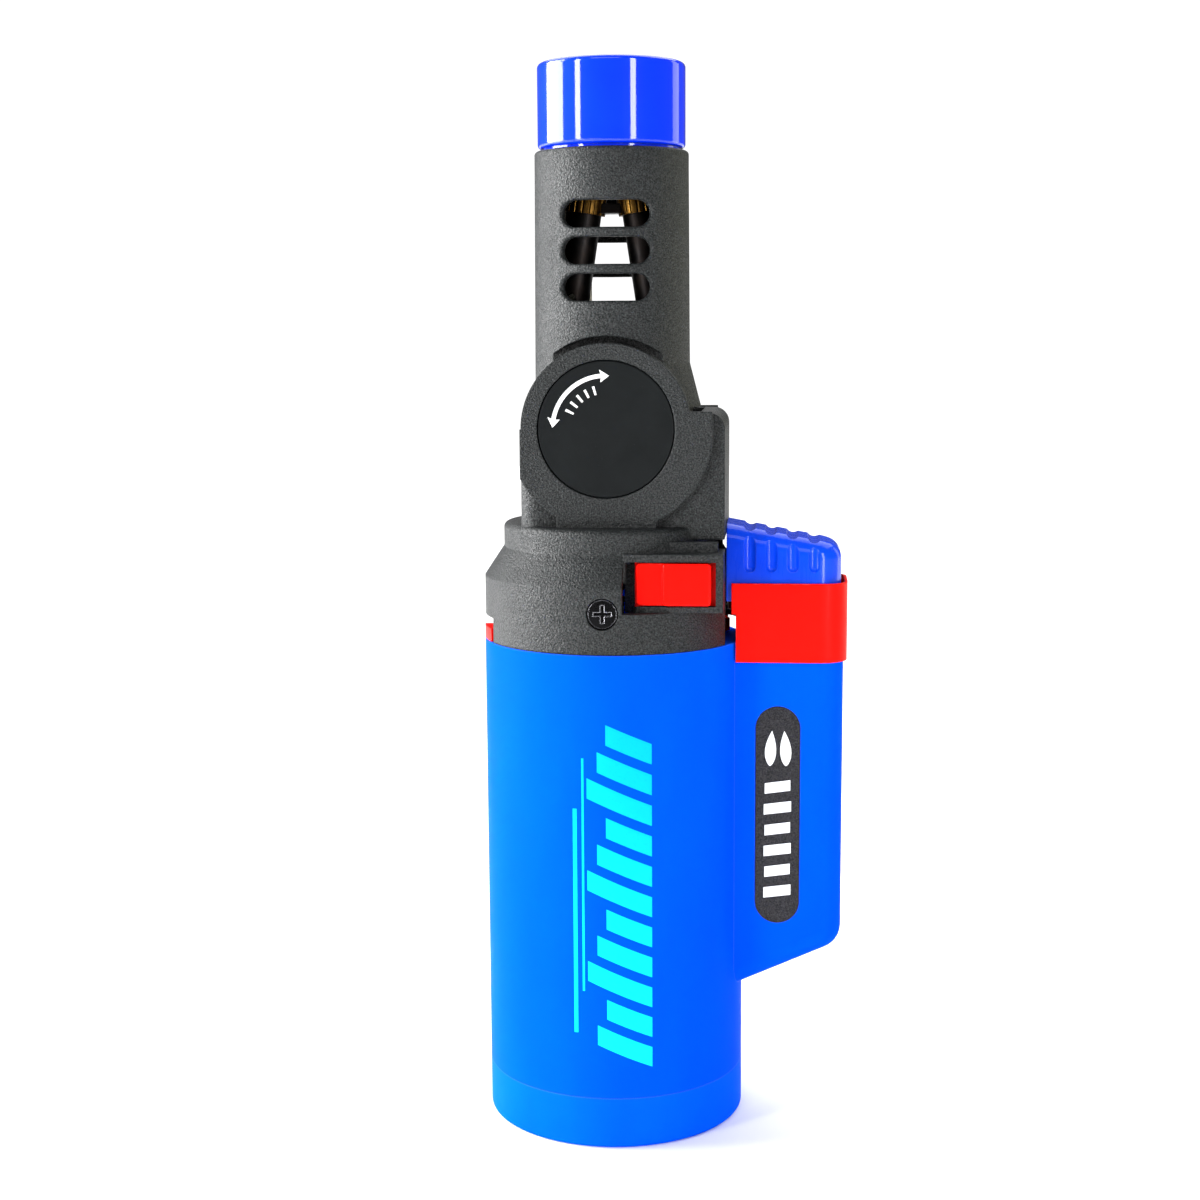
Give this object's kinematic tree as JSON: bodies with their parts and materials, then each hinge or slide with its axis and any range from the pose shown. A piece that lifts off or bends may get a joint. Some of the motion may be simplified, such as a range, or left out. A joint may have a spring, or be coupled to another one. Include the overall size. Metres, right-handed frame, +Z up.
{
  "type": "pocket butane torch",
  "caption": "Refillable hand-held butane torch with twin flames, a pivoting burner head, thumb trigger with flame lock and flame adjuster.",
  "frame": {"origin": "centre of the tank's flat base, on the tank's axis, at the mouth of the fill inlet", "axes": "+Z up along the tank and the upright head, +X towards the trigger and fin, -Y the front with the lock slider and label"},
  "size_m": [0.0512, 0.0366, 0.148],
  "materials": {
    "black_screw": "black oxide",
    "black_smooth": "smooth black",
    "black_textured": "spark-textured black",
    "blue_base": "translucent moulded blue plastic, satin",
    "blue_gloss": "high gloss blue",
    "blue_tank": "translucent moulded blue plastic, satin",
    "blue_trigger": "satin gloss blue",
    "brass": "machined",
    "burner_black": "blackened steel",
    "ceramic_white": "glazed ceramic",
    "guard_steel": "satin stainless",
    "hose_rubber": "fuel hose",
    "label_plastic": "smooth black inlay",
    "lead_jacket": "silicone jacket",
    "red_plastic": "satin red",
    "seal_rubber": "nitrile",
    "spring_steel": "drawn wire",
    "wick_plastic": "natural plastic",
    "zinc": "die-cast zinc"
  },
  "bodies": {
    "torch": {"tank_body": "blue_tank", "base_cap": "blue_base", "fin_label": "label_plastic", "fill_valve_body": "brass", "fill_valve_seal": "seal_rubber", "fill_valve_spring": "spring_steel", "outlet_valve_body": "brass", "outlet_valve_spring": "spring_steel", "wick_tube": "wick_plastic", "gas_lever_pin": "spring_steel", "housing_front": "black_textured", "housing_rear": "black_textured", "pivot_cover_front": "black_smooth", "pivot_cover_rear": "black_smooth", "collar_screws": "black_screw", "pivot_pins": "spring_steel", "pivot_washers": "spring_steel", "piezo_case": "black_smooth", "trigger_spring": "spring_steel", "gas_hose": "hose_rubber", "ignition_lead": "lead_jacket"},
    "head": {"head_shell": "black_textured", "head_cap": "blue_gloss", "flame_guard": "guard_steel", "nozzle_plate": "guard_steel", "burner_block": "zinc", "burner_spacer": "burner_black", "burner_tube_left": "burner_black", "burner_tube_right": "burner_black", "flame_nozzle_left": "brass", "flame_nozzle_right": "brass", "electrode_insulator": "ceramic_white", "spark_electrode": "spring_steel"},
    "trigger": {"trigger_cap": "blue_trigger", "trigger_band": "red_plastic", "trigger_arm": "black_smooth", "piezo_plunger": "black_smooth"},
    "lock": {"lock_slider": "red_plastic"},
    "adjuster": {"flame_adjuster": "red_plastic"},
    "lever": {"gas_lever": "zinc"},
    "valve_stem": {"outlet_valve_stem": "brass", "outlet_valve_seal": "seal_rubber"},
    "fill_stem": {"fill_valve_stem": "brass"}
  },
  "joints": [
    {"name": "head_pivot", "type": "hinge", "parent": "torch", "child": "head", "pos_m": [0, 0, 0.09875], "axis": [0, -1, 0], "range_deg": [0, 70], "deforming": ["gas_hose", "ignition_lead"]},
    {"name": "trigger_press", "type": "slide", "parent": "torch", "child": "trigger", "axis": [0, 0, -1], "range_m": [0, 0.0036], "stiffness_N_per_m": 1200, "springref_m": -0.003, "deforming": ["trigger_spring"]},
    {"name": "lever_rock", "type": "hinge", "parent": "torch", "child": "lever", "pos_m": [0.0032, 0, 0.0732], "axis": [0, 1, 0], "range_deg": [0, 23]},
    {"name": "valve_lift", "type": "slide", "parent": "torch", "child": "valve_stem", "axis": [0, 0, 1], "range_m": [0, 0.0013], "deforming": ["outlet_valve_spring"]},
    {"name": "lock_slide", "type": "slide", "parent": "torch", "child": "lock", "axis": [-1, 0, 0], "range_m": [0, 0.0014]},
    {"name": "flame_adjust", "type": "hinge", "parent": "torch", "child": "adjuster", "pos_m": [0, 0, 0.07], "axis": [0, 0, 1], "range_deg": [-36, 0]},
    {"name": "fill_valve_press", "type": "slide", "parent": "torch", "child": "fill_stem", "axis": [0, 0, 1], "range_m": [0, 0.001], "stiffness_N_per_m": 800, "springref_m": -0.001, "deforming": ["fill_valve_spring"]}
  ],
  "couplings": [
    {"joint": "lever_rock", "follows": "trigger_press", "rad_per_m": 111.11},
    {"joint": "valve_lift", "follows": "trigger_press", "ratio": 0.35556}
  ]
}
